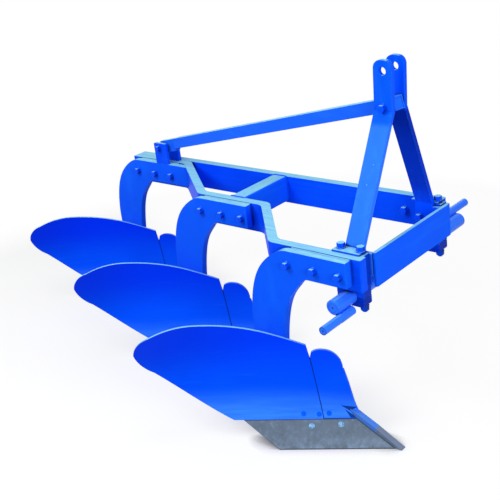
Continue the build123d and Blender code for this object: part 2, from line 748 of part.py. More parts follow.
# Two-part bearings under the front corners, each with a strap on top
near_gap = (stepped_bar_side + bar_thickness, mast_centre_y - mast_foot_right)
far_gap = (mast_centre_y + mast_foot_left, side_beam_near)
for side, gap in (("right", near_gap), ("left", far_gap)):
    gap_mid = (gap[0] + gap[1]) / 2
    gap_width = gap[1] - gap[0]
    block_depth = gap_width + 2 * saddle_lap
    saddle_top = frame_bottom - seat_gap
    riser_width = gap_width - 2 * seat_gap
    bolt_spots = [(shaft_x - corner_bolt_offset, gap_mid), (shaft_x + corner_bolt_offset, gap_mid)]
    strap_low = gap[0] - strap_lap if side == "right" else gap[0] + seat_gap
    strap_high = gap[1] - seat_gap if side == "right" else gap[1] + strap_lap
    with BuildPart() as saddle:
        with BuildSketch(Plane.XY.offset(shaft_z + cap_split_gap / 2)):
            with Locations((shaft_x, gap_mid)):
                Rectangle(2 * saddle_half_length, block_depth)
        extrude(amount=saddle_top - shaft_z - cap_split_gap / 2)
        with BuildSketch(Plane.XY.offset(saddle_top)):
            with Locations(((riser_front + riser_rear) / 2, gap_mid)):
                Rectangle(riser_front - riser_rear, riser_width)
        extrude(amount=frame_top - saddle_top - seat_gap)
        with BuildSketch(Plane.XZ.offset(-(gap_mid + bore_reach / 2))):
            with Locations((shaft_x, shaft_z)):
                Circle(shaft_radius + running_clearance)
        extrude(amount=bore_reach, mode=Mode.SUBTRACT)
        with BuildSketch(Plane.XY.offset(shaft_z)):
            with Locations(*bolt_spots):
                Circle(corner_bolt_hole / 2)
        extrude(amount=frame_top - shaft_z, mode=Mode.SUBTRACT)
    saddle.part.label = f"saddle_{side}"
    export_step(saddle.part, f"parts/saddle_{side}.step")
    with BuildPart() as bearing_cap:
        with BuildSketch(Plane.XY.offset(shaft_z - cap_depth)):
            with Locations((shaft_x, gap_mid)):
                Rectangle(2 * saddle_half_length, block_depth)
        extrude(amount=cap_depth - cap_split_gap / 2)
        with BuildSketch(Plane.XZ.offset(-(gap_mid + bore_reach / 2))):
            with Locations((shaft_x, shaft_z)):
                Circle(shaft_radius + running_clearance)
        extrude(amount=bore_reach, mode=Mode.SUBTRACT)
        with BuildSketch(Plane.XY.offset(shaft_z - cap_depth)):
            with Locations(*bolt_spots):
                Circle(corner_bolt_hole / 2)
        extrude(amount=cap_depth, mode=Mode.SUBTRACT)
        fillet(bearing_cap.edges().filter_by(Axis.Y).group_by(Axis.Z)[0], radius=cap_corner_radius)
    bearing_cap.part.label = f"bearing_cap_{side}"
    export_step(bearing_cap.part, f"parts/bearing_cap_{side}.step")
    with BuildPart() as foot_strap:
        with BuildSketch(Plane.XY.offset(frame_top + seat_gap)):
            with Locations((shaft_x - strap_front_trim / 2, (strap_low + strap_high) / 2)):
                Rectangle(2 * strap_half_length - strap_front_trim, strap_high - strap_low)
            with Locations(*bolt_spots):
                Circle(corner_bolt_hole / 2, mode=Mode.SUBTRACT)
        extrude(amount=strap_thickness)
    foot_strap.part.label = f"foot_strap_{side}"
    export_step(foot_strap.part, f"parts/foot_strap_{side}.step")

for piece, name in (
    (stepped_beam, "stepped_beam"),
    (side_beam, "side_beam"),
    (front_plate, "front_plate"),
    (mid_cross_member, "mid_cross_member"),
):
    piece.part.label = name
    export_step(piece.part, f"parts/{name}.step")
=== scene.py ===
# %% [markdown]
# # A three-furrow moldboard plough
# The steel of this plough comes ready made: every bar, blade and bracket is a solid
# from the construction model, already in metres and in its place. This lesson gives
# that steel its paint, its bolts and its welds, and sets up the camera and the light.
# Forward is +X, the furrow side is -Y, and up is +Z.

import math

import bpy
import numpy as np
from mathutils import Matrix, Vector
from mathutils.bvhtree import BVHTree


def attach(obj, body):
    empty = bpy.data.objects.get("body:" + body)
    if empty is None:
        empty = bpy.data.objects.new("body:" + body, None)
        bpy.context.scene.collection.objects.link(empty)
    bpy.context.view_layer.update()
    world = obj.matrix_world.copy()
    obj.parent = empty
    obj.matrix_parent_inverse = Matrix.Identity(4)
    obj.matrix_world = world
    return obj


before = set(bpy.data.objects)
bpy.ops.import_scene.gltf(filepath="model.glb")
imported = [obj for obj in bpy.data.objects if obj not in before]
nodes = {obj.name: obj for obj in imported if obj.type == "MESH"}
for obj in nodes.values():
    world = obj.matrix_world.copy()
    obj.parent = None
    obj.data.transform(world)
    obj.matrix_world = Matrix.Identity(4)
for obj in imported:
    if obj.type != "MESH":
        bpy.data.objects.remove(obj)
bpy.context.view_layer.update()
BODY_STEP = (-0.607, 0.250)
BODIES = range(3)


def body_shift(number):
    """How far plough body 0, 1 or 2 lies from the front one, in x and in y."""
    return BODY_STEP[0] * number, BODY_STEP[1] * number


# %% [markdown]
# ## The camera
# The camera was solved from the plough's own straight edges, so its place, its turn
# and its focal length belong together. It leans a little, as a hand-held camera does.
# The small shift only says that the picture's middle is not quite the lens's middle.

# %% Camera
camera_data = bpy.data.cameras.new("plough_camera")
camera_data.sensor_width = 36.0
camera_data.lens = 66.824
camera_data.shift_x = -0.0022
camera_data.shift_y = 0.0013
camera = bpy.data.objects.new("plough_camera", camera_data)
camera.location = (1.6970, -2.0612, 1.7791)
camera.rotation_euler = [math.radians(a) for a in (66.8626, 6.7095, 40.2628)]
bpy.context.scene.collection.objects.link(camera)
bpy.context.scene.camera = camera
bpy.context.scene.view_settings.view_transform = "Standard"
print("camera at", tuple(round(v, 3) for v in camera.location), "lens", camera_data.lens)

# %% [markdown]
# ## Shader maths as plain expressions
# A node graph that adds and multiplies soon grows hard to read. The small class below
# wraps one output socket, so that `1 - mask * 0.5` writes its own Math nodes. Colours
# go through Mix nodes instead, because a Math node would turn them grey.

# %% Wrap a socket
class Value:
    """One number that varies over a surface: an output socket of a material's nodes."""

    def __init__(self, finish, socket):
        self.finish = finish
        self.socket = socket

    def math(self, operation, *others):
        return self.finish.math(operation, self, *others)

    def __add__(self, other):
        return self.math("ADD", other)

    def __radd__(self, other):
        return self.finish.math("ADD", other, self)

    def __sub__(self, other):
        return self.math("SUBTRACT", other)

    def __rsub__(self, other):
        return self.finish.math("SUBTRACT", other, self)

    def __mul__(self, other):
        return self.math("MULTIPLY", other)

    def __rmul__(self, other):
        return self.finish.math("MULTIPLY", other, self)

    def largest(self, *others):
        """The largest of this value and the others."""
        result = self
        for other in others:
            result = result.math("MAXIMUM", other)
        return result

    def step(self, low, high):
        """0 below low, 1 above high, and a smooth rise between them."""
        node = self.finish.node(
            "ShaderNodeMapRange",
            {"interpolation_type": "SMOOTHSTEP"},
            {"Value": self, "From Min": low, "From Max": high},
        )
        return Value(self.finish, node.outputs["Result"])

    def ramp(self, stops):
        """Smooth runs between (value, result) stops; a plain number stays a number."""
        if not isinstance(stops, list):
            return stops
        total = stops[0][1]
        for (low, before), (high, after) in zip(stops, stops[1:]):
            total = self.step(low, high) * (after - before) + total
        return total

    def near(self, centre, inner, outer):
        """1 within inner of the centre value, falling to 0 at outer."""
        return 1 - (self - centre).math("ABSOLUTE").step(inner, outer)


print("socket wrapper ready")

# %% [markdown]
# A material is a tree of nodes. The next class adds all of them by one method, and
# each pattern has a name that calls it, so that a recipe reads as a list of layers.

# %% One material and its nodes
class Finish:
    """A material whose nodes are added by one method, with its Principled shader."""

    def __init__(self, name, **constants):
        self.material = bpy.data.materials.new(name)
        self.material.use_nodes = True
        self.tree = self.material.node_tree
        self.shader = self.tree.nodes["Principled BSDF"]
        for socket, value in constants.items():
            self.shader.inputs[socket.replace("_", " ")].default_value = value
        coordinates = self.node("ShaderNodeTexCoord")
        self.place = coordinates.outputs["Object"]
        self.direction = coordinates.outputs["Normal"]

    def node(self, kind, settings=None, values=None):
        """Add a node of this type, apply its settings, then fill or link its sockets."""
        node = self.tree.nodes.new(kind)
        for key, setting in (settings or {}).items():
            setattr(node, key, setting)
        for key, value in (values or {}).items():
            self.feed(node.inputs[key], value)
        return node

    def feed(self, socket, value):
        """Link a socket or a Value, or write a plain number or colour."""
        if isinstance(value, Value):
            value = value.socket
        if isinstance(value, bpy.types.NodeSocket):
            self.tree.links.new(value, socket)
        else:
            socket.default_value = value

    def math(self, operation, *parts):
        node = self.node("ShaderNodeMath", {"operation": operation})
        for socket, part in zip(node.inputs, parts):
            self.feed(socket, part)
        return Value(self, node.outputs[0])

    def distance(self, a, b):
        """The straight distance that the two offsets a and b make: sqrt(a*a + b*b)."""
        return self.math("SQRT", a * a + b * b)

    def stretch(self, scale, turn=(0, 0, 0), shift=(0, 0, 0)):
        """Object coordinates, scaled so that a pattern gets long along one direction."""
        node = self.node(
            "ShaderNodeMapping",
            None,
            {"Vector": self.place, "Scale": scale, "Rotation": turn, "Location": shift},
        )
        return node.outputs["Vector"]

    def noise(self, scale, detail=3.0, rough=0.5, along=None):
        """Cloudy noise from 0 to 1, in object coordinates unless others are given."""
        node = self.node(
            "ShaderNodeTexNoise",
            None,
            {"Vector": along or self.place, "Scale": scale, "Detail": detail, "Roughness": rough},
        )
        return Value(self, node.outputs["Fac"])

    def cells(self, scale):
        """Distance to the nearest of many scattered points, in cells."""
        node = self.node("ShaderNodeTexVoronoi", None, {"Vector": self.place, "Scale": scale})
        return Value(self, node.outputs["Distance"])

    def blend(self, mask, low, high):
        """Mix two colours by a mask."""
        node = self.node("ShaderNodeMix", {"data_type": "RGBA"})
        self.feed(node.inputs["Factor"], mask)
        self.feed(node.inputs[6], low)
        self.feed(node.inputs[7], high)
        return node.outputs[2]

    def join(self, x, y, z):
        """Three Values as one vector, for a pattern in a place's own coordinates."""
        return self.node("ShaderNodeCombineXYZ", None, {"X": x, "Y": y, "Z": z}).outputs["Vector"]

    def split(self, vector):
        """The x, y and z of a vector as three Values."""
        node = self.node("ShaderNodeSeparateXYZ", None, {"Vector": vector})
        return [Value(self, out) for out in node.outputs]

    def rounded(self, radius):
        """The surface's direction, as if its sharp edges had this small radius."""
        return self.node("ShaderNodeBevel", {"samples": 6}, {"Radius": radius}).outputs["Normal"]

    def edges(self, radius):
        """1 on a sharp edge and 0 on the flat: how far a rounded normal leans away."""
        dot = self.node("ShaderNodeVectorMath", {"operation": "DOT_PRODUCT"})
        self.feed(dot.inputs[0], self.rounded(radius))
        self.feed(dot.inputs[1], self.node("ShaderNodeNewGeometry").outputs["Normal"])
        lean = 1 - Value(self, dot.outputs["Value"])
        return lean.step(0.02, 0.22)

    def crevice(self, reach):
        """1 deep in a corner or a gap, where little light gets in, and 0 in the open."""
        node = self.node("ShaderNodeAmbientOcclusion", {"samples": 8}, {"Distance": reach})
        return 1 - Value(self, node.outputs["AO"]).step(0.30, 0.72)

    def triangle(self, across, up, corners, soft_side=0.0012):
        """1 inside a triangle of (across, up) points, listed anticlockwise.

        It is the product over the sides of a step in the distance from the side.
        """
        inside = 1.0
        for (a0, u0), (a1, u1) in zip(corners, corners[1:] + corners[:1]):
            length = math.hypot(a1 - a0, u1 - u0)
            run, rise = (a1 - a0) / length, (u1 - u0) / length
            side = (up - u0) * run - (across - a0) * rise
            inside = side.step(0.0, soft_side) * inside
        return inside

    def relief(self, height, depth, radius):
        """Bump on top of edges that are rounded by a small radius."""
        bump = self.node(
            "ShaderNodeBump",
            None,
            {"Height": height, "Distance": depth, "Strength": 1.0, "Normal": self.rounded(radius)},
        )
        self.feed(self.shader.inputs["Normal"], bump.outputs["Normal"])

    def wear(self, colour, rough=None, metal=None):
        """Give the shader its colour, and its roughness and metal where they vary."""
        for name, value in (("Base Color", colour), ("Roughness", rough), ("Metallic", metal)):
            if value is not None:
                self.feed(self.shader.inputs[name], value)
        return self.material


print("shader helpers ready")

# %% [markdown]
# ## Floor, background and light
# The plough stands on a pale floor in front of a white background. Where the camera,
# a glossy face or glass looks at the background, it sees plain white. The floor keeps
# a soft shadow under the blades, and farther out it fades to the same white, so that
# no horizon shows. The lamps are four soft boxes: a small key light high on the left,
# which lets the bolts and the bar ends throw short shadows, a wide one overhead, one
# low in front of the mast, and a wide one low behind, whose glint runs along the tops.

# %% Floor
FLOOR_HALF = 40.0
corner_signs = ((-1, -1), (1, -1), (1, 1), (-1, 1))
floor_corners = [(x * FLOOR_HALF, y * FLOOR_HALF, 0) for x, y in corner_signs]
floor_mesh = bpy.data.meshes.new("studio_floor")
floor_mesh.from_pydata(floor_corners, [], [(0, 1, 2, 3)])
floor = bpy.data.objects.new("studio_floor", floor_mesh)
bpy.context.scene.collection.objects.link(floor)
print("floor", 2 * FLOOR_HALF, "m wide")

# %% [markdown]
# The paper of the floor is darker for the light that it throws back than for the eye,
# or it would turn the undersides pale. A white glow covers it: fully from about two
# metres out, more behind the row of blades than in front of it, and hardly at all
# within 5 cm of a blade, where the contact shadow lies. There a painted contact shadow
# also darkens the paper, the more the less open sky a point sees. The row of blades
# runs back at the slope that three bodies give, 0.25 m across for 0.61 m along.

# %% Floor paper
PLOUGH_MIDDLE = (-0.6, 0.2)
ROW_SLOPE = 0.41
CONTACT_REACH = 0.05
CONTACT_SHADE = (0.20, 0.20, 0.22, 1)
WHITE = (1, 1, 1, 1)


def grey(level):
    return (level, level, level, 1)


paper = Finish("floor_paper", Roughness=0.9, Specular_IOR_Level=0.0)
ray = paper.node("ShaderNodeLightPath")
seen = Value(paper, ray.outputs["Is Camera Ray"]).largest(
    Value(paper, ray.outputs["Is Glossy Ray"]), Value(paper, ray.outputs["Is Transmission Ray"])
)
tint = paper.noise(3.0)
bounce = paper.blend(tint, grey(0.36), grey(0.40))
shown = paper.blend(tint, grey(0.79), grey(0.81))
floor_x, floor_y, _ = paper.split(paper.place)
away = paper.distance(floor_x - PLOUGH_MIDDLE[0], floor_y - PLOUGH_MIDDLE[1])
beyond = (floor_y + floor_x * ROW_SLOPE).step(0.05, 0.40)
open_cover = (beyond * 0.30 + 0.60).largest(away.step(1.1, 2.2))
touch = paper.node("ShaderNodeAmbientOcclusion", {"samples": 8}, {"Distance": CONTACT_REACH})
contact_shadow = (1 - Value(paper, touch.outputs["AO"])).step(0.015, 0.20)
cover = open_cover * (1 - contact_shadow * 0.85)
# Painted contact shadow: close to a blade the paper seen by the eye is darkened.
shown = paper.blend(contact_shadow * 0.75, shown, CONTACT_SHADE)
paper.wear(colour=paper.blend(seen, bounce, shown))
glow = paper.node("ShaderNodeEmission", None, {"Color": WHITE, "Strength": 1.0})
mixer = paper.node("ShaderNodeMixShader")
paper.feed(mixer.inputs[0], seen * cover)
paper.feed(mixer.inputs[1], paper.shader.outputs[0])
paper.feed(mixer.inputs[2], glow.outputs[0])
paper.feed(paper.tree.nodes["Material Output"].inputs["Surface"], mixer.outputs[0])
floor_mesh.materials.append(paper.material)
print("floor paper nodes:", len(paper.tree.nodes))

# %% [markdown]
# The world has two strengths. The eye and the glossy faces see it plain white, and all
# other light from it is dim and a little cool, so that the lamps decide where the
# paint is bright. A Mix Shader chooses between the two by the kind of ray.

# %% World and lamps
world = bpy.data.worlds.new("studio_world")
bpy.context.scene.world = world
world.use_nodes = True
sky = world.node_tree
plain = sky.nodes["Background"]
plain.inputs["Color"].default_value = (0.96, 0.98, 1.0, 1)
plain.inputs["Strength"].default_value = 0.38
white = sky.nodes.new("ShaderNodeBackground")
white.inputs["Color"].default_value = WHITE
white.inputs["Strength"].default_value = 1.0
path = sky.nodes.new("ShaderNodeLightPath")
sees_white = path.outputs["Is Camera Ray"]
for kind in ("Is Glossy Ray", "Is Transmission Ray"):
    either = sky.nodes.new("ShaderNodeMath")
    either.operation = "MAXIMUM"
    sky.links.new(sees_white, either.inputs[0])
    sky.links.new(path.outputs[kind], either.inputs[1])
    sees_white = either.outputs[0]
choice = sky.nodes.new("ShaderNodeMixShader")
for number, output in enumerate((sees_white, plain.outputs[0], white.outputs[0])):
    sky.links.new(output, choice.inputs[number])
sky.links.new(choice.outputs[0], sky.nodes["World Output"].inputs["Surface"])


def soft_box(name, place, aim, size, power):
    """A rectangular lamp at place that faces aim."""
    lamp = bpy.data.lights.new(name, "AREA")
    lamp.shape = "RECTANGLE"
    lamp.size, lamp.size_y = size
    lamp.energy = power
    holder = bpy.data.objects.new(name, lamp)
    holder.location = place
    holder.rotation_euler = (Vector(aim) - Vector(place)).to_track_quat("-Z", "Y").to_euler()
    bpy.context.scene.collection.objects.link(holder)


soft_box("key_box", (-1.9, -2.6, 3.3), aim=(-0.4, 0.0, 0.5), size=(1.5, 1.5), power=100)
soft_box("overhead_box", (0.2, -0.6, 4.2), aim=(-0.3, 0.0, 0.5), size=(2.4, 2.4), power=62)
soft_box("front_box", (3.2, -1.2, 1.6), aim=(-0.3, 0.1, 0.5), size=(2.0, 1.6), power=90)
soft_box("low_back_box", (-3.4, 3.0, 1.6), aim=(-0.2, 0.1, 0.6), size=(4.5, 2.4), power=26)

# %% [markdown]
# ## Blue enamel
# The plough is sprayed with one blue enamel over rolled steel. Real enamel is never
# one flat colour: it lies thicker in places, carries brush and roll marks along the
# bars, shows dust nibs as tiny light specks, and thins on the edges, where the primer
# and steel look through. The function below mixes all of that, and each call sets how
# much of it one group of pieces gets. It also paints light and shade into the colour:
# a lighter or a deeper blue for where a piece stands in the light, painted shade in
# the corners and gaps, and a painted reflection of the sky with the dust on level tops.

# %% Enamel
BLUE = (0.0010, 0.080, 0.96, 1)
DEEP_BLUE = (0.0006, 0.062, 0.88, 1)
LIGHT_BLUE = (0.0060, 0.130, 0.98, 1)
THIN_BLUE = (0.030, 0.26, 0.92, 1)
DUST_AND_SHEEN_BLUE = (0.22, 0.56, 0.67, 1)
SKY_BLUE = (0.12, 0.50, 0.74, 1)
DARK_DIRT_AND_SHADE = (0.002, 0.016, 0.14, 1)
SHADE_BLUE = (0.0001, 0.010, 0.28, 1)
SHEEN = (0.02, 0.65, 1.0, 1)
EDGE_RADIUS = 0.0022
CREVICE_REACH = 0.022
LANE_SHIFT, PAD_GAPS = 0.064, (0.004, 0.044)


def enamel(
    name, marks, dust_and_sheen, *, gloss=0.36, shine=0.08, light=0.0, shade=0.0, pale_sky_lift=0.0,
    front_shade=0.0, low_shade=0.0, nibs=1.0, nib_cells=140.0, edge=EDGE_RADIUS,
    crevice_shade=0.85, lanes=False, turned_ends=(),
):
    """Blue paint over steel.

    marks is how fine the roll marks are along x, y and z, and dust_and_sheen is how
    much the level tops get of a pale blue: real dust, and a painted reflection of the
    sky. gloss is the roughness and shine the strength of the reflection. light mixes
    in a lighter blue all over, painted light for a piece in brighter light. shade
    mixes in painted shade, and pale_sky_lift a paler sky blue: painted light on the
    near mast's legs, which lean up to the sky, and a paler tone on the brace and the
    shaft. Both may be a list of (height, amount) stops. front_shade paints shade on
    the faces that look ahead and low_shade on those that look down. nibs is how much
    the specks show and nib_cells how many places for one a metre has. crevice_shade is
    how much painted shade darkens the corners and gaps, lanes paints shade in the gaps
    beside a shank's pad, and turned_ends lists the (x, z, ring radius) of end faces
    that carry a turned ring and a centre mark, both drawn dark.
    """
    paint = Finish(name, Specular_IOR_Level=shine, Specular_Tint=SHEEN)
    cloud = paint.noise(4.0, 4.0, 0.55)
    grain = paint.noise(1.0, 3.0, 0.6, along=paint.stretch(marks))
    fine = paint.noise(900.0, 2.0, 0.5)
    peel = paint.noise(170.0, 2.0, 0.5)
    x, y, z = paint.split(paint.place)
    ahead, aside, up = paint.split(paint.direction)

    # The coat: soft clouds and lighter roll marks, then painted shade and the paler sky-blue lift.
    colour = paint.blend(cloud.step(0.30, 0.72), DEEP_BLUE, BLUE)
    colour = paint.blend(grain.step(0.52, 0.74) * 0.35 + light, colour, LIGHT_BLUE)
    looks_ahead, looks_down = ahead.step(0.45, 0.95), (0 - up).step(0.25, 0.90)
    painted_shade = looks_ahead * front_shade + looks_down * low_shade + z.ramp(shade)
    colour = paint.blend(painted_shade, colour, SHADE_BLUE)
    colour = paint.blend(z.ramp(pale_sky_lift) * (0.7 + grain * 0.6), colour, SKY_BLUE)

    # Dust nibs: a speck in the middle of a cell, in some patches only.
    speck = 1 - paint.cells(nib_cells).step(0.06, 0.13)
    speck = speck * paint.noise(26.0, 1.0).step(0.56, 0.64) * nibs
    colour = paint.blend(speck * 0.6, colour, SKY_BLUE)

    # Thin and chipped paint along the edges.
    rim = paint.edges(edge)
    chip = paint.noise(70.0, 4.0, 0.7).step(0.50, 0.60)
    colour = paint.blend(rim * (0.30 + chip * 0.45), colour, THIN_BLUE)

    # Streaky dust on the level tops, with a painted pale reflection of the sky.
    level = up.step(0.90, 0.985)
    streak = paint.noise(1.0, 4.0, 0.65, along=paint.stretch([m * 3.0 for m in marks]))
    top_dust_and_sheen = level * (0.72 + streak.step(0.38, 0.60) * 0.28) * dust_and_sheen
    colour = paint.blend(top_dust_and_sheen, colour, DUST_AND_SHEEN_BLUE)

    # Painted shade in the corners and in the gaps beside a shank's pad, and dark turned
    # marks. A lane is the strip that belongs to one body, and it runs from 0 to 1 across.
    shade_and_dark_lines = paint.crevice(CREVICE_REACH)
    if lanes:
        lane = paint.math("FRACT", y * (1 / BODY_STEP[1]) + LANE_SHIFT)
        before, behind = [lane.near(gap, 0.004, 0.010) for gap in PAD_GAPS]
        shade_and_dark_lines = shade_and_dark_lines.largest(before.largest(behind) * level)
    for centre_x, centre_z, ring in turned_ends:
        radius = paint.distance(x - centre_x, z - centre_z)
        mark = radius.near(ring, 0.0005, 0.0018).largest(1 - radius.step(0.0026, 0.0048))
        shade_and_dark_lines = shade_and_dark_lines.largest(mark * (aside * aside).step(0.80, 0.95) * 0.75)
    colour = paint.blend(shade_and_dark_lines * crevice_shade, colour, DARK_DIRT_AND_SHADE)

    rough = gloss + fine * 0.05 + cloud * 0.10 + top_dust_and_sheen * 0.14 + rim * chip * 0.2 + shade_and_dark_lines * 0.2
    height = fine * 0.02 + peel * 0.10 + grain * 0.5 + cloud * 0.6 + speck * 0.5
    paint.relief(height, 0.0006, edge)
    return paint.wear(colour, rough)


print("enamel recipe ready")

# %% [markdown]
# The roll marks are coarse along a bar and fine across it. Blocks, caps and bolts get
# even marks. The cross shaft lies at one x and z all along, and each hitch pin is
# welded beside it, the right one ahead and below and the left one behind and above.

# %% One enamel for each group of pieces
ALONG_BAR = (2.0, 46, 46)
ACROSS_PLATE = (40, 3.0, 30)
ALONG_MAST = (40, 40, 2.5)
ALONG_SHAFT = (60, 2.5, 60)
ON_BLOCKS = (14, 14, 14)
ON_BOLTS = (60, 60, 60)
SHAFT_X, SHAFT_Z = 0.140, 0.490
PIN_AHEAD, PIN_BELOW = 0.0220, 0.0325
SHAFT_ENDS = [
    (SHAFT_X, SHAFT_Z, 0.0145),
    (SHAFT_X + PIN_AHEAD, SHAFT_Z - PIN_BELOW, 0.0118),
    (SHAFT_X - PIN_AHEAD, SHAFT_Z + PIN_BELOW, 0.0118),
]
FAR_MAST_SHADE = [(0.62, 0.0), (0.74, 0.55), (0.97, 0.80), (1.00, 0.80), (1.02, 0.0)]
MAST_SKY_LIFT = [(0.972, 0.17), (0.992, 0.0)]
CAP_SHADE = [(0.47, 0.60), (0.54, 0.15)]
BOLT_SHADE = [(0.47, 0.45), (0.55, 0.0)]

frame_paint = enamel("frame_enamel", ALONG_BAR, 1.0)
pad_paint = enamel("pad_enamel", ALONG_BAR, 1.0, lanes=True)
# Painted light: the front plate, the brace, the blocks and the shanks get a lighter blue all over.
plate_paint = enamel("front_plate_enamel", ACROSS_PLATE, 1.0, light=0.45, shine=0.03)
# Painted light on the near mast: a lighter blue, and a pale sky blue below the bend, where its
# legs lean up to the sky.
near_mast_lit_paint = enamel(
    "near_mast_lit_enamel", ALONG_MAST, 0.7, nibs=1.6, nib_cells=58.0, light=0.2, pale_sky_lift=MAST_SKY_LIFT
)
# Painted shade on the far mast: a deeper blue from 0.62 m up to 1.02 m, darkest between 0.97 and
# 1.00 m.
far_mast_shaded_paint = enamel(
    "far_mast_shaded_enamel", ALONG_MAST, 0.6, nibs=1.6, shine=0.03, shade=FAR_MAST_SHADE
)
brace_paint = enamel("brace_enamel", ALONG_BAR, 1.0, light=0.6, pale_sky_lift=0.05, crevice_shade=0.4)
# Painted shade on the faces of the corner blocks that look ahead.
block_paint = enamel("block_enamel", ON_BLOCKS, 1.0, light=0.2, front_shade=0.75)
bracket_paint = enamel("bracket_enamel", ON_BLOCKS, 0.8)
# Painted shade on the bearing caps, deepest below 0.47 m, and on their faces that look ahead.
cap_paint = enamel("cap_enamel", ON_BLOCKS, 0.5, shade=CAP_SHADE, front_shade=0.3)
shank_paint = enamel("shank_enamel", (10, 40, 5), 1.0, light=0.45, shine=0.05)
shaft_paint = enamel(
    "shaft_enamel", ALONG_SHAFT, 0.3, gloss=0.28, pale_sky_lift=0.18, shine=0.22, turned_ends=SHAFT_ENDS
)
under_paint = enamel("underside_enamel", (8, 8, 8), 0.3, gloss=0.44)
# Painted shade on the bolts' faces that look ahead or down, and on the bolts low under the frame.
bolt_paint = enamel(
    "bolt_enamel", ON_BOLTS, 1.0, gloss=0.28, edge=0.0010, shine=0.22,
    shade=BOLT_SHADE, front_shade=0.55, low_shade=0.65,
)
head_paint = enamel("board_bolt_enamel", ON_BOLTS, 0.0, edge=0.0010, light=0.2)
# The welds get a little painted shade all over.
weld_paint = enamel("weld_enamel", (90, 90, 90), 0.4, edge=0.0008, shade=0.12)
print("enamels:", [m.name for m in bpy.data.materials if "enamel" in m.name])

# %% [markdown]
# ## Moldboard enamel
# The moldboard and the shin in front of it are pressed plates, painted smooth and
# glossy. Long faint polish marks run along the way the soil slides. In the seam
# between the two plates, and where they meet the share, the paint is thin and dirt
# sits in the gap, which draws a dark line. An image could carry these lines, but two
# measures of a point keep them sharp from close by: how far it lies back along the
# body, and how high it is. Two small triangles in the same two measures paint shade
# beside the bar point, where it passes through the shin. The board also gets painted
# shade high up and in its corners, and a painted reflection of the pale floor low down.

# %% Moldboard paint
TIP = (0.300, 0.006)
BLADE_ANGLE = math.radians(38.0)
BOARD_TOP_SHADE = (0.0003, 0.026, 0.88, 1)
BOARD_FOOT_REFLECTION = (0.036, 0.205, 0.96, 1)
SEAM_RUN, SEAM_LEAN = 0.2263, 0.137
NOTCH_SHADE_ABOVE = [(0.120, 0.1015), (0.148, 0.0880), (0.180, 0.1065)]
NOTCH_SHADE_BELOW = [(0.1236, 0.0666), (0.1480, 0.0672), (0.1670, 0.0960)]


def along_body(finish, number):
    """Distance back from the share's tip, seen square on from the furrow, and height.

    It is the run from the tip in -X times cos 38 plus the run in -Y times sin 38.
    """
    x, y, z = finish.split(finish.place)
    dx, dy = body_shift(number)
    back_x, back_y = (TIP[0] + dx) - x, (TIP[1] + dy) - y
    return back_x * math.cos(BLADE_ANGLE) + back_y * math.sin(BLADE_ANGLE), z


def board_enamel(name, number):
    """Smooth blue paint with faint marks that run back along the board."""
    paint = Finish(name, Specular_IOR_Level=0.10, Specular_Tint=SHEEN)
    run, z = along_body(paint, number)
    lines = paint.noise(1.0, 4.0, 0.6, along=paint.join(run * 5 + number, z * 70, 0.0))
    cloud = paint.noise(3.2, 3.0, 0.5)
    fine = paint.noise(700.0, 2.0, 0.5)

    # Painted shade deepens the board high up, more on the rear bodies, and a painted
    # reflection of the pale floor lightens it low down.
    colour = paint.blend(cloud.step(0.32, 0.70), DEEP_BLUE, BLUE)
    colour = paint.blend(lines.step(0.55, 0.75) * 0.28, colour, LIGHT_BLUE)
    high = (z + cloud * 0.06).step(0.20, 0.38)
    colour = paint.blend(high * (0.72 + number * 0.12), colour, BOARD_TOP_SHADE)
    low = 1 - (z + cloud * 0.05 + lines * 0.02).step(0.115, 0.205)
    colour = paint.blend(low * (0.52 + lines.step(0.35, 0.65) * 0.32), colour, BOARD_FOOT_REFLECTION)
    spot = 1 - paint.cells(90.0).step(0.04, 0.10)
    spot = spot * paint.noise(14.0, 1.0).step(0.60, 0.70)
    colour = paint.blend(spot * 0.35, colour, DARK_DIRT_AND_SHADE)

    # Thin paint on the edges, and dust with a painted sky sheen on the rim that looks up.
    rim = paint.edges(EDGE_RADIUS)
    chip = paint.noise(60.0, 4.0, 0.7).step(0.46, 0.60)
    colour = paint.blend(rim * (0.14 + chip * 0.3), colour, THIN_BLUE)
    up = paint.split(paint.direction)[2]
    crest = up.step(0.40, 0.65) * z.step(0.21, 0.25)
    colour = paint.blend(crest * (run.step(0.20, 0.45) * 0.5 + 0.3), colour, DUST_AND_SHEEN_BLUE)

    # Dark lines in the seam and along the joint with the share; painted shade in the two notches
    # and the corners.
    seam = run - z * SEAM_LEAN
    line = seam.near(SEAM_RUN, 0.0007, 0.0026) * (1 - z.step(0.262, 0.268))
    foot = (1 - z.step(0.0665, 0.0690)) * (1 - seam.step(0.226, 0.230)) * 0.9
    notch_shades = [paint.triangle(run, z, corners) for corners in (NOTCH_SHADE_ABOVE, NOTCH_SHADE_BELOW)]
    shade_and_dark_lines = line.largest(foot, *notch_shades, paint.crevice(0.012) * 0.6)
    colour = paint.blend(shade_and_dark_lines * 0.88, colour, DARK_DIRT_AND_SHADE)

    rough = 0.26 + lines * 0.08 + cloud * 0.08 + rim * chip * 0.2 + shade_and_dark_lines * 0.3
    height = lines * 0.5 + cloud * 0.8 + fine * 0.02 + spot * 0.4 - line * 0.8
    paint.relief(height, 0.0007, EDGE_RADIUS)
    return paint.wear(colour, rough)


board_paints = [board_enamel(f"board_enamel_{n + 1}", n) for n in BODIES]
print("board paints:", len(board_paints))

# %% [markdown]
# ## Share steel
# The share and the lower half of the bar point are bare rolled steel with a thin grey
# film. They show fine scratches from the rolling mill, pale scuffs near the cutting
# edge where the film has rubbed off, and stains. The blue paint of a bar point ends
# at one x. A share has dark lines where it meets the bar point and the board, and
# painted shade along its lowest few millimetres, under the cutting edge. The heads of
# its bolts are rubbed bright by the soil.

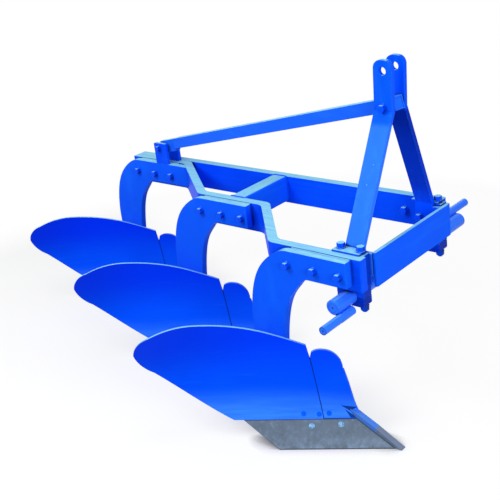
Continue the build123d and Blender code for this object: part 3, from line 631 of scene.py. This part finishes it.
# %% Share and point
STEEL = (0.082, 0.118, 0.165, 1)
DARK_STEEL = (0.060, 0.086, 0.122, 1)
SCUFFED = (0.150, 0.215, 0.315, 1)
SCRATCHED = (0.18, 0.235, 0.31, 1)
STAINED = (0.050, 0.062, 0.070, 1)
STEEL_EDGE = (0.010, 0.016, 0.040, 1)
POINT_STEEL = (0.140, 0.190, 0.290, 1)
POINT_BLUE = (0.046, 0.165, 0.60, 1)
RUBBED_DARK = (0.060, 0.150, 0.33, 1)
RUBBED_BRIGHT = (0.17, 0.36, 0.56, 1)
POINT_PAINT_FRONT = 0.230
SHARE_INNER = -0.016
SCRATCH_TURN = math.radians(32)


def bare_steel(name, number, painted_front=None):
    """Grey rolled steel; painted_front is the x where the blue of a bar point ends."""
    steel = Finish(name, Specular_IOR_Level=0.35)
    dx, dy = body_shift(number)
    back = (-dx, -dy, 0)
    upright = steel.noise(1.0, 5.0, 0.7, along=steel.stretch((70, 70, 5), shift=back))
    slanted = steel.stretch((26, 170, 170), turn=(0, 0, SCRATCH_TURN), shift=back)
    drawn = steel.noise(1.0, 4.0, 0.6, along=slanted)
    cloud = steel.noise(14.0, 5.0, 0.65)
    fine = steel.noise(800.0, 2.0, 0.6)
    x, y, z = steel.split(steel.place)

    colour = steel.blend(cloud.step(0.30, 0.70), DARK_STEEL, STEEL)
    colour = steel.blend(upright.step(0.46, 0.74) * 0.45, colour, SCUFFED)
    near_edge = 1 - (z + cloud * 0.018).step(0.010, 0.045)
    scuff = near_edge * cloud.step(0.42, 0.62)
    colour = steel.blend(scuff * (0.35 + upright * 0.5), colour, SCUFFED)
    stain = steel.noise(48.0, 3.0, 0.6).step(0.56, 0.66) * (0.3 + near_edge * 0.5)
    colour = steel.blend(stain * 0.6, colour, STAINED)
    scratch = drawn.step(0.62, 0.68)
    colour = steel.blend(scratch * 0.30, colour, SCRATCHED)
    colour = steel.blend(steel.edges(EDGE_RADIUS) * 0.75, colour, STEEL_EDGE)
    metal = 0.25 + scuff * 0.25 + scratch * 0.2
    rough = 0.50 + cloud * 0.16 - scuff * 0.08

    if painted_front is None:
        # Dark lines where the share meets the bar point and the board, and painted shade along its
        # foot.
        joints_and_foot_shade = y.near(SHARE_INNER + dy, 0.0016, 0.0042)
        joints_and_foot_shade = joints_and_foot_shade.largest(1 - z.step(0.0010, 0.0034), z.step(0.0630, 0.0648) * 0.6)
        colour = steel.blend(joints_and_foot_shade * 0.85, colour, STEEL_EDGE)
    else:
        colour = steel.blend(0.75, colour, POINT_STEEL)
        paint_end = painted_front + dx
        covered = 1 - (x + cloud * 0.012).step(paint_end - 0.004, paint_end + 0.010)
        colour = steel.blend(covered, colour, POINT_BLUE)
        metal = metal * (1 - covered)
        rough = rough - covered * 0.16
    steel.relief(upright * 0.5 + drawn * 0.6 + fine * 0.05 + cloud * 0.8, 0.0005, 0.0014)
    return steel.wear(colour, rough, metal)


share_steels = [bare_steel(f"share_steel_{n + 1}", n) for n in BODIES]
point_steels = [bare_steel(f"point_steel_{n + 1}", n, POINT_PAINT_FRONT) for n in BODIES]

rubbed = Finish("bright_bolt_steel", Specular_IOR_Level=0.5)
polish = rubbed.noise(160.0, 4.0, 0.6)
rubbed.relief(polish, 0.0005, 0.0006)
bright_steel = rubbed.wear(
    rubbed.blend(polish.step(0.40, 0.60), RUBBED_DARK, RUBBED_BRIGHT),
    0.34 + polish * 0.2,
    0.10 + polish * 0.2,
)
print("steels:", len(share_steels) + len(point_steels) + 1)

# %% [markdown]
# ## Which piece gets which paint
# The plough was sprayed in one go, but its pieces lie in different light and wear in
# different places, so each group has an enamel of its own, with its own painted light
# and shade. A plain table from name to paint is easy to check, because it has to hold
# every solid of the model.

# %% Give every solid its finish
solid_paint = {
    "stepped_beam": frame_paint,
    "side_beam": frame_paint,
    "front_plate": plate_paint,
    "mid_cross_member": plate_paint,
    "mast_leg_right": near_mast_lit_paint,
    "mast_leg_left": far_mast_shaded_paint,
    "top_brace": brace_paint,
    "brace_bracket_right": bracket_paint,
    "brace_bracket_left": bracket_paint,
    "cross_shaft": shaft_paint,
}
for side in ("right", "left"):
    solid_paint[f"foot_strap_{side}"] = solid_paint[f"saddle_{side}"] = block_paint
    solid_paint[f"bearing_cap_{side}"] = cap_paint
for n in BODIES:
    for base, paint in (
        ("shank", shank_paint),
        ("shank_pad", pad_paint),
        ("moldboard", board_paints[n]),
        ("shin", board_paints[n]),
        ("share", share_steels[n]),
        ("bar_point", point_steels[n]),
        ("landside", under_paint),
        ("frog", under_paint),
        ("moldboard_stay", under_paint),
    ):
        solid_paint[f"{base}_{n + 1}"] = paint
for name, node in nodes.items():
    node.data.materials.clear()
    node.data.materials.append(solid_paint[name])
print("painted solids:", len(solid_paint))

# %% [markdown]
# ## Grids for turned and carried shapes
# Every fastener is turned or forged about one axis, and every weld bead is carried
# along a line. Both are grids: one parameter runs round, the other runs along. A
# Screw modifier could turn the fasteners too, but a grid takes every rim and crown
# from one short list of rings, and a fan of faces closes each end.

# %% Grid helpers
SHARP_ANGLE = math.radians(32.0)


def tube_faces(rows, columns):
    """Quads between neighbouring rows, and a fan to a centre point at each end.

    The two centre points come after the grid's own rows * columns points.
    """
    j = np.arange(columns)
    k = (j + 1) % columns
    here = np.arange(rows - 1)[:, None] * columns
    there = here + columns
    quads = np.stack([here + j, here + k, there + k, there + j], -1)
    first, last, top = rows * columns, rows * columns + 1, (rows - 1) * columns
    low = np.stack([np.full(columns, first), k, j], -1)
    high = np.stack([np.full(columns, last), top + j, top + k], -1)
    return quads.reshape(-1, 4).tolist() + low.tolist() + high.tolist()


def unit(direction):
    """The direction as a vector of length 1."""
    vector = np.array(direction, float)
    return vector / np.linalg.norm(vector)


def axis_frame(direction):
    """Three unit vectors as rows: two across the direction, and the direction."""
    w = unit(direction)
    helper = np.array([0.0, 0.0, 1.0]) if abs(w[2]) < 0.9 else np.array([1.0, 0.0, 0.0])
    u = unit(np.cross(helper, w))
    return np.stack([u, np.cross(w, u), w])


def turned(rings, spot, direction, segments=48, corners=6, twist=0.0):
    """A body about an axis from rings of (radius, height, share of the polygon).

    At angle a a polygon of n corners has the radius r * cos(180 / n) divided by
    cos(a mod (360 / n) - 180 / n); the ring mixes it with the plain circle r.
    The twist turns the whole body about its axis.
    """
    a = np.linspace(0, 2 * math.pi, segments, endpoint=False)
    half = math.pi / corners
    polygon = math.cos(half) / np.cos(np.mod(a, 2 * half) - half)
    r, h, k = np.array(rings, float).T
    outline = r[:, None] * ((1 - k[:, None]) + k[:, None] * polygon[None, :])
    heights = np.repeat(h[:, None], segments, 1)
    grid = np.stack([outline * np.cos(a + twist), outline * np.sin(a + twist), heights], -1)
    poles = np.array([[0, 0, h[0]], [0, 0, h[-1]]])
    verts = np.concatenate([grid.reshape(-1, 3), poles])
    return verts @ axis_frame(direction) + spot, tube_faces(len(rings), segments)


def make_piece(name, parts, paint, body):
    """Join (vertices, faces) parts into one object that rides on a body."""
    verts, faces, start = [], [], 0
    for part_verts, part_faces in parts:
        verts.append(part_verts)
        faces += [[v + start for v in face] for face in part_faces]
        start += len(part_verts)
    mesh = bpy.data.meshes.new(name)
    mesh.from_pydata(np.concatenate(verts).tolist(), [], faces)
    mesh.validate()
    mesh.materials.append(paint)
    mesh.polygons.foreach_set("use_smooth", [True] * len(mesh.polygons))
    mesh.set_sharp_from_angle(angle=SHARP_ANGLE)
    piece = bpy.data.objects.new(name, mesh)
    bpy.context.scene.collection.objects.link(piece)
    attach(piece, body)


print("grid helpers ready")

# %% [markdown]
# ## Bolts, nuts and washers
# The bolts hold the shanks to the beam, the bearings under the frame corners, the
# mast, and the brace. Each has a forged hexagon head with a turned crown and a washer
# under it. The nut has the same shape, and the thread's end shows beyond it. Most
# measures follow the width across the flats, so that one number sizes a fastener.

# %% Fastener shapes
NEAR_SIDE, FAR_SIDE, UPWARD, DOWNWARD = (0, -1, 0), (0, 1, 0), (0, 0, 1), (0, 0, -1)
WASHER_THICK = 0.003


def hexagon(spot, direction, across, height):
    """A hexagon head or nut: the rings climb its side and the crown rounds it off."""
    r = across / 2 / math.cos(math.pi / 6)
    rings = [(r * 0.97, 0, 1), (r, height * 0.06, 1), (r, height * 0.80, 1)]
    rings += [(r * 0.94, height * 0.96, 0.55), (r * 0.84, height, 0), (r * 0.4, height * 1.02, 0)]
    return turned(rings, spot, direction)


def washer(spot, direction, radius):
    """A flat round washer with slightly rounded rims."""
    top = WASHER_THICK
    rings = [(radius * 0.98, 0, 0), (radius, top * 0.2, 0), (radius, top * 0.7, 0)]
    rings += [(radius * 0.96, top, 0), (radius * 0.5, top, 0)]
    return turned(rings, spot, direction)


def thread(spot, direction, radius, length, pitch=0.002):
    """Rings whose radius swings with the thread's pitch, ended by a short cone."""
    h = np.arange(0, length, pitch / 2)
    r = radius * (1 - 0.07 * (np.arange(len(h)) % 2))
    rings = [(a, b, 0) for a, b in zip(r, h)]
    rings += [(radius * 0.80, length, 0), (radius * 0.4, length, 0)]
    return turned(rings, spot, direction, segments=24)


def head_set(spot, direction, across, washer_radius=None, height=None):
    """A washer with a hexagon head on it, pointing out of the clamped stack."""
    out = unit(direction)
    return [
        washer(spot, out, washer_radius or across * 0.64),
        hexagon(spot + out * WASHER_THICK, out, across, height or across * 0.62),
    ]


def nut_set(spot, direction, across, washer_radius=None, height=None, stick_out=0.008):
    """A washer, a nut and the end of the thread."""
    out = unit(direction)
    tall = height or across * 0.72
    parts = head_set(spot, out, across, washer_radius, tall)
    parts.append(thread(spot + out * (WASHER_THICK + tall), out, across * 0.33, stick_out))
    return parts


def cross_bolt(x, z, near, far, across, washer_radius=None):
    """A bolt across the plough: its head on the near face and its nut on the far one."""
    head = head_set((x, near, z), NEAR_SIDE, across, washer_radius)
    return head + nut_set((x, far, z), FAR_SIDE, across, washer_radius)


print("fastener shapes ready")

# %% [markdown]
# Three bolts hold each shank to the beam, and one call makes a whole bolt. The faces
# that fasteners sit on are written as plain y or z values in metres. Near faces look
# to the furrow side, where the camera stands, and far faces look away from it.

# %% Shank bolts
SHANK_NEAR, BEAM_FAR, BEAM_PAIR_FAR = -0.041, 0.029, 0.0623
SHANK_BOLT_X, SHANK_BOLT_Z = (-0.050, 0.054, 0.150), 0.583
SLIM_BOLT = {"across": 0.022, "washer_radius": 0.0140}
for n in BODIES:
    dx, dy = body_shift(n)
    far_face = BEAM_PAIR_FAR if n == 2 else BEAM_FAR
    parts = []
    for number, x in enumerate(SHANK_BOLT_X):
        near, far = SHANK_NEAR + dy, far_face + dy
        # The saddle and the middle cross member leave no room for these two nuts.
        if (n, number) in ((0, 2), (1, 1)):
            parts += head_set((x + dx, near, SHANK_BOLT_Z), NEAR_SIDE, **SLIM_BOLT)
        else:
            parts += cross_bolt(x + dx, SHANK_BOLT_Z, near, far, **SLIM_BOLT)
    make_piece(f"shank_bolts_{n + 1}", parts, bolt_paint, "plough_frame")
print("shank bolts:", len(BODIES) * len(SHANK_BOLT_X))

# %% [markdown]
# The bearings of the cross shaft hang under the frame's front corners. Two long bolts
# hold each one, from the strap on top through the saddle to the nuts under the cap.
# The length between is hidden in the steel, so only the two ends are made.

# %% Clamp bolts under the front corners
STRAP_TOP, CAP_BOTTOM = 0.6383, 0.456
CLAMP_Y, CLAMP_X = (0.045, 0.50915), (0.104, 0.176)
CLAMP_BOLT = {"across": 0.024, "washer_radius": 0.0150}
parts = []
for y in CLAMP_Y:
    for x in CLAMP_X:
        parts += head_set((x, y, STRAP_TOP), UPWARD, **CLAMP_BOLT)
        parts += nut_set((x, y, CAP_BOTTOM), DOWNWARD, **CLAMP_BOLT, height=0.014, stick_out=0.005)
make_piece("corner_bolts", parts, bolt_paint, "plough_frame")
print("corner bolts:", len(CLAMP_Y) * len(CLAMP_X))

# %% [markdown]
# One bolt joins the mast's two ears through the front of the brace, one holds each
# mast foot, and one more sits in the far beam. At the rear the brace's tongue is held
# by a bolt between its two brackets, with a spacer ring on each side of it.

# %% Mast and brace bolts
EAR_NEAR, EAR_FAR = 0.242, 0.328
parts = cross_bolt(x=0.158, z=1.030, near=EAR_NEAR, far=EAR_FAR, **SLIM_BOLT)
make_piece("mast_bolt", parts, bolt_paint, "plough_frame")

FOOT_RIGHT, FOOT_LEFT = 0.077, 0.473
FAR_BEAM_NEAR, FAR_BEAM_FAR = 0.5293, 0.5623
foot_x, foot_z = 0.125, 0.585
parts = cross_bolt(foot_x, foot_z, near=FOOT_LEFT, far=FAR_BEAM_FAR, across=0.024)
parts += head_set((foot_x, FOOT_RIGHT, foot_z), FAR_SIDE, 0.024)
make_piece("mast_foot_bolts", parts, bolt_paint, "plough_frame")

parts = cross_bolt(x=0.032, z=0.576, near=FAR_BEAM_NEAR, far=FAR_BEAM_FAR, across=0.025)
make_piece("far_beam_bolt", parts, bolt_paint, "plough_frame")

# The faces across, from near to far: bracket, spacer, tongue, spacer, bracket.
BRACKET_RIGHT, BRACKET_LEFT = (0.459, 0.471), (0.517, 0.529)
TONGUE = (0.484, 0.504)
PIVOT_X, PIVOT_Z, SPACER_RADIUS = -1.113, 0.700, 0.0175
parts = head_set((PIVOT_X, BRACKET_RIGHT[0], PIVOT_Z), NEAR_SIDE, 0.020, 0.0120)
parts += nut_set((PIVOT_X, BRACKET_LEFT[1], PIVOT_Z), FAR_SIDE, 0.024)
for low, high in ((BRACKET_RIGHT[1], TONGUE[0]), (TONGUE[1], BRACKET_LEFT[0])):
    width = high - low
    rings = [(SPACER_RADIUS - 0.001, 0, 0), (SPACER_RADIUS, 0.001, 0)]
    rings += [(SPACER_RADIUS, width - 0.001, 0), (SPACER_RADIUS - 0.001, width, 0)]
    parts.append(turned(rings, (PIVOT_X, low, PIVOT_Z), FAR_SIDE, segments=40))
make_piece("brace_bolt", parts, bolt_paint, "plough_frame")
print("mast, foot, beam and brace bolts: 5")

# %% [markdown]
# ## Plough bolts in the boards and shares
# The blades are held by countersunk bolts whose heads lie level with a curved face.
# Where that face is, the construction model knows best: a search tree over the
# blade's triangles returns the nearest point and the direction there, and the head is
# set on it. The nut sits as deep behind the face as the two plates are thick.

# %% Plough bolts
BOARD_SPOTS = (
    ("moldboard", (0.002, -0.100, 0.081)),
    ("moldboard", (0.047, -0.075, 0.080)),
    ("shin", (0.074, -0.057, 0.082)),
)
SHARE_SPOTS = (("share", (0.039, -0.109, 0.051)), ("share", (0.119, -0.056, 0.054)))
BOARD_STACK, SHARE_STACK = 0.0216, 0.0236


def flush_head(spot, direction, radius, proud=0.0012):
    """A countersunk plough bolt's round head: a low crown with a shallow middle."""
    rings = [(radius, -0.002, 0), (radius, proud * 0.3, 0), (radius * 0.92, proud, 0)]
    rings += [(radius * 0.55, proud * 1.25, 0), (radius * 0.30, proud * 0.8, 0)]
    rings += [(radius * 0.08, proud * 0.7, 0)]
    return turned(rings, spot, direction, segments=32)


def surface_at(node_name, guess):
    """Nearest point of a solid to the guess, and the direction its face looks."""
    mesh = nodes[node_name].data
    verts, faces = [v.co[:] for v in mesh.vertices], [p.vertices[:] for p in mesh.polygons]
    spot, facing, _, _ = BVHTree.FromPolygons(verts, faces).find_nearest(Vector(guess))
    return np.array(spot), np.array(facing)


for n in BODIES:
    dx, dy = body_shift(n)
    heads, nuts, bright = [], [], []
    for spots, stack, radius, group in (
        (BOARD_SPOTS, BOARD_STACK, 0.0085, heads),
        (SHARE_SPOTS, SHARE_STACK, 0.0100, bright),
    ):
        for base, guess in spots:
            guess = (guess[0] + dx, guess[1] + dy, guess[2])
            spot, facing = surface_at(f"{base}_{n + 1}", guess)
            group.append(flush_head(spot, facing, radius))
            nuts += nut_set(spot - facing * stack, -facing, 0.019, height=0.011, stick_out=0.006)
    make_piece(f"board_bolt_heads_{n + 1}", heads, head_paint, "plough_frame")
    make_piece(f"blade_bolt_nuts_{n + 1}", nuts, bolt_paint, "plough_frame")
    make_piece(f"share_bolt_heads_{n + 1}", bright, bright_steel, "plough_frame")
print("plough bolts:", len(BODIES) * (len(BOARD_SPOTS) + len(SHARE_SPOTS)))

# %% [markdown]
# The landside slides along the furrow's wall, so its bolts are countersunk too, with
# their nuts behind the frog. Two more bolts hold the frog to the foot of the shank.

# %% Landside and shank foot bolts
LANDSIDE_FAR, FROG_NEAR, FROG_FAR = 0.006, -0.016, -0.006
LANDSIDE_BOLT_X, LANDSIDE_BOLT_Z = (-0.105, 0.070), 0.045
SHANK_FOOT_SPOTS = ((-0.122, 0.148), (-0.182, 0.122))
for n in BODIES:
    dx, dy = body_shift(n)
    parts = []
    for x in LANDSIDE_BOLT_X:
        head_spot = (x + dx, LANDSIDE_FAR + dy, LANDSIDE_BOLT_Z)
        nut_spot = (x + dx, FROG_NEAR + dy, LANDSIDE_BOLT_Z)
        parts.append(flush_head(head_spot, FAR_SIDE, 0.012))
        parts += nut_set(nut_spot, NEAR_SIDE, 0.021, height=0.012)
    for x, z in SHANK_FOOT_SPOTS:
        nut_spot = (x + dx, FROG_FAR + dy, z)
        parts += head_set((x + dx, SHANK_NEAR + dy, z), NEAR_SIDE, 0.024)
        parts += nut_set(nut_spot, FAR_SIDE, 0.024, height=0.011, stick_out=0.004)
    make_piece(f"foot_bolts_{n + 1}", parts, bolt_paint, "plough_frame")
print("landside and foot bolts:", len(BODIES) * (len(LANDSIDE_BOLT_X) + len(SHANK_FOOT_SPOTS)))

# %% [markdown]
# ## Shaft ends and the brace's end cap
# A turned shaft keeps the small cone of the lathe's centre in its end face, and a
# faint turned ring round it. The brace is a square tube, closed at the front by a thin
# plate that sits just inside its walls: a polygon of four corners, twisted by 45
# degrees so that its sides lie along the walls.

# %% Shaft ends
SHAFT_NEAR_END, SHAFT_FAR_END = -0.071, 0.708
parts = []
for y, way in ((SHAFT_NEAR_END, NEAR_SIDE), (SHAFT_FAR_END, FAR_SIDE)):
    rings = [(0.0220, -0.001, 0), (0.0220, 0.0004, 0), (0.0212, 0.0010, 0), (0.0150, 0.0010, 0)]
    rings += [(0.0143, 0.0005, 0), (0.0136, 0.0010, 0), (0.0045, 0.0010, 0), (0.0008, 0.0002, 0)]
    parts.append(turned(rings, (SHAFT_X, y, SHAFT_Z), way, segments=64))
make_piece("shaft_end_faces", parts, shaft_paint, "hitch_shaft")

BRACE_FRONT, BRACE_REAR = np.array([0.191, 0.2792, 1.040]), np.array([-1.034, 0.494, 0.722])
CAP_HALF, CAP_INSET = 0.0168, 0.005
brace_out = unit(BRACE_FRONT - BRACE_REAR)
reach = CAP_HALF * math.sqrt(2)
rings = [(reach, 0, 1), (reach, 0.002, 1), (reach * 0.96, 0.003, 1), (reach * 0.3, 0.003, 1)]
cap_spot = BRACE_FRONT - brace_out * CAP_INSET
cap = turned(rings, cap_spot, brace_out, segments=64, corners=4, twist=math.radians(45))
make_piece("brace_end_cap", [cap], brace_paint, "plough_frame")
print("shaft ends and brace cap made")

# %% [markdown]
# ## Weld beads
# The welded joints show as rippled beads in the corners between two plates. A bump
# could hint at them but would leave their outline straight, so each is a real tube
# that is carried along its corner, half sunk in the steel.

# %% A bead along a line
def bead(points, radius=0.0035, pitch=0.006, around=10):
    """A rippled weld carried along a line of points.

    The radius at length s is the radius times 0.92 + 0.16 * (s / pitch mod 1), so
    each ripple swells slowly and ends in a small step, and both ends taper to a point.
    """
    points = np.array(points, float)
    legs = np.linalg.norm(np.diff(points, axis=0), axis=1)
    stations = np.concatenate([[0], np.cumsum(legs)])
    s = np.arange(0, stations[-1], pitch / 3)
    line = np.stack([np.interp(s, stations, points[:, c]) for c in range(3)], -1)
    tangent = np.gradient(line, axis=0)
    tangent = tangent / np.linalg.norm(tangent, axis=1, keepdims=True)
    helper = np.where(np.abs(tangent[:, 2:3]) < 0.9, [[0.0, 0.0, 1.0]], [[1.0, 0.0, 0.0]])
    u = np.cross(helper, tangent)
    u = u / np.linalg.norm(u, axis=1, keepdims=True)
    v = np.cross(tangent, u)
    r = radius * (0.92 + 0.16 * np.mod(s / pitch, 1.0))
    r = r * np.clip(np.minimum(s, s[-1] - s) / radius, 0.15, 1.0) ** 0.5
    a = np.linspace(0, 2 * math.pi, around, endpoint=False)[None, :, None]
    ring_shape = np.cos(a) * u[:, None, :] + np.sin(a) * v[:, None, :]
    grid = line[:, None, :] + r[:, None, None] * ring_shape
    verts = np.concatenate([grid.reshape(-1, 3), line[:1], line[-1:]])
    return verts, tube_faces(len(s), around)


print("bead maker ready")

# %% Frame welds
FRAME_TOP = 0.6325


def corner_loop(x_low, x_high, z_low, z_high, y, corner):
    """A rounded rectangle in an upright plane, as a closed line of points."""
    line = []
    for cx, cz, start in (
        (x_high - corner, z_high - corner, 0),
        (x_low + corner, z_high - corner, 90),
        (x_low + corner, z_low + corner, 180),
        (x_high - corner, z_low + corner, 270),
    ):
        a = np.radians(np.linspace(start, start + 90, 6))
        arc = [cx + corner * np.cos(a), np.full(6, y), cz + corner * np.sin(a)]
        line.append(np.stack(arc, -1))
    line = np.concatenate(line)
    return np.concatenate([line, line[:1]])


beads = []
for y in (0.2795, 0.5288):  # round the middle cross member, at its two ends
    beads.append(bead(corner_loop(-0.563, -0.493, 0.532, 0.632, y, 0.009)))
for y, x_front in ((BRACKET_RIGHT[1], -1.074), (BRACKET_LEFT[0], -1.064)):  # the brackets
    beads.append(bead([(-1.138, y, FRAME_TOP), (x_front, y, FRAME_TOP)], 0.004))
for y in TONGUE:  # the brace's tongue in its tube
    beads.append(bead([(-1.0345, y, 0.692), (-1.0345, y, 0.740)], 0.0035))
for y in (FOOT_RIGHT, FOOT_LEFT):  # the mast's feet against the front plate
    beads.append(bead([(0.2035, y, 0.558), (0.2035, y, 0.626)], 0.0040))
for y in (0.061, 0.489):  # the corner straps against the mast's feet
    beads.append(bead([(0.112, y, FRAME_TOP), (0.196, y, FRAME_TOP)], 0.0030))
make_piece("frame_welds", beads, weld_paint, "plough_frame")
print("frame beads:", len(beads))

# %% [markdown]
# A hitch pin lies beside the shaft. The line from the shaft's axis to the pin's axis
# meets the shaft's skin where the two touch, and a bead fills the groove on each side
# of that line.

# %% Hitch pin and stay welds
SHAFT_SKIN, GROOVE_OFF = 0.0251, 0.0070
to_pin, along_skin = unit((PIN_AHEAD, 0, -PIN_BELOW)), unit((PIN_BELOW, 0, PIN_AHEAD))
beads = []
for side, y_low, y_high in ((1, -0.069, -0.005), (-1, 0.642, 0.706)):
    meeting = np.array([SHAFT_X, 0, SHAFT_Z]) + to_pin * side * SHAFT_SKIN
    for groove_side in (-1, 1):
        line = meeting + along_skin * groove_side * GROOVE_OFF
        beads.append(bead([line + [0, y_low, 0], line + [0, y_high, 0]], 0.0042))
make_piece("hitch_pin_welds", beads, weld_paint, "hitch_shaft")

STAY_X, STAY_Y, STAY_Z, STAY_RADIUS = -0.170, -0.0415, 0.205, 0.0130
a = np.radians(np.linspace(0, 360, 40))
for n in BODIES:
    dx, dy = body_shift(n)
    loop_x, loop_z = STAY_X + dx + STAY_RADIUS * np.cos(a), STAY_Z + STAY_RADIUS * np.sin(a)
    loop = np.stack([loop_x, np.full(40, STAY_Y + dy), loop_z], -1)
    make_piece(f"stay_weld_{n + 1}", [bead(loop)], weld_paint, "plough_frame")
print("hitch pin beads:", len(beads), "stay welds:", len(BODIES))
